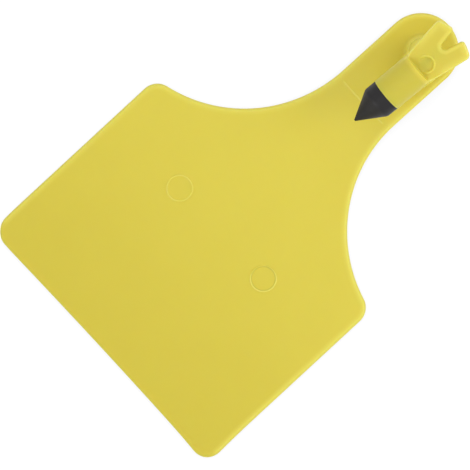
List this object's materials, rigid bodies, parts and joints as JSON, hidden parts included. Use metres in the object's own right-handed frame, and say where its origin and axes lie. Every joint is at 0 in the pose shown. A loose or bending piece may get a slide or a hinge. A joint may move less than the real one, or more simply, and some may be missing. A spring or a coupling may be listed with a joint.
{
  "type": "livestock ear tag",
  "caption": "Soft flag with rounded corners, narrowing through a neck to a round head, whose flexible stem carries a T-shaped toggle with a forked tail and a hard piercing tip.",
  "frame": {"origin": "on the back face of the tag, under the axis of the stem's root, which is the centre of the round head", "axes": "+Y along the tag from the flag to the head, +Z out of the front face, towards the toggle, +X across the tag so that the frame is right-handed"},
  "size_m": [0.0762, 0.1141, 0.0186],
  "materials": {
    "yellow_tpu": "satin",
    "black_acetal": "satin"
  },
  "bodies": {
    "flag": {"flag_panel": "yellow_tpu", "neck_flexure": "yellow_tpu"},
    "head": {"neck_head": "yellow_tpu"},
    "stem": {"stem": "yellow_tpu"},
    "toggle": {"toggle_body": "yellow_tpu", "piercing_tip": "black_acetal"}
  },
  "joints": [
    {"name": "neck_flex", "type": "hinge", "parent": "flag", "child": "head", "pos_m": [0, -0.0235, 0.001], "axis": [1, 0, 0], "range_deg": [-90, 45], "stiffness_Nm_per_rad": 0.028, "deforming": ["neck_flexure"]},
    {"name": "stem_tilt", "type": "hinge", "parent": "head", "child": "stem", "pos_m": [0.0015, -0.0005, 0.0065], "axis": [0.9983, -0.0471, -0.0349], "range_deg": [-60, 18], "stiffness_Nm_per_rad": 0.3, "deforming": ["stem"]},
    {"name": "toggle_swivel", "type": "hinge", "parent": "stem", "child": "toggle", "pos_m": [0.003, -0.001, 0.0107], "axis": [0.0262, -0.1751, 0.9842], "range_deg": [-45, 45], "stiffness_Nm_per_rad": 0.19, "deforming": ["stem"]}
  ]
}
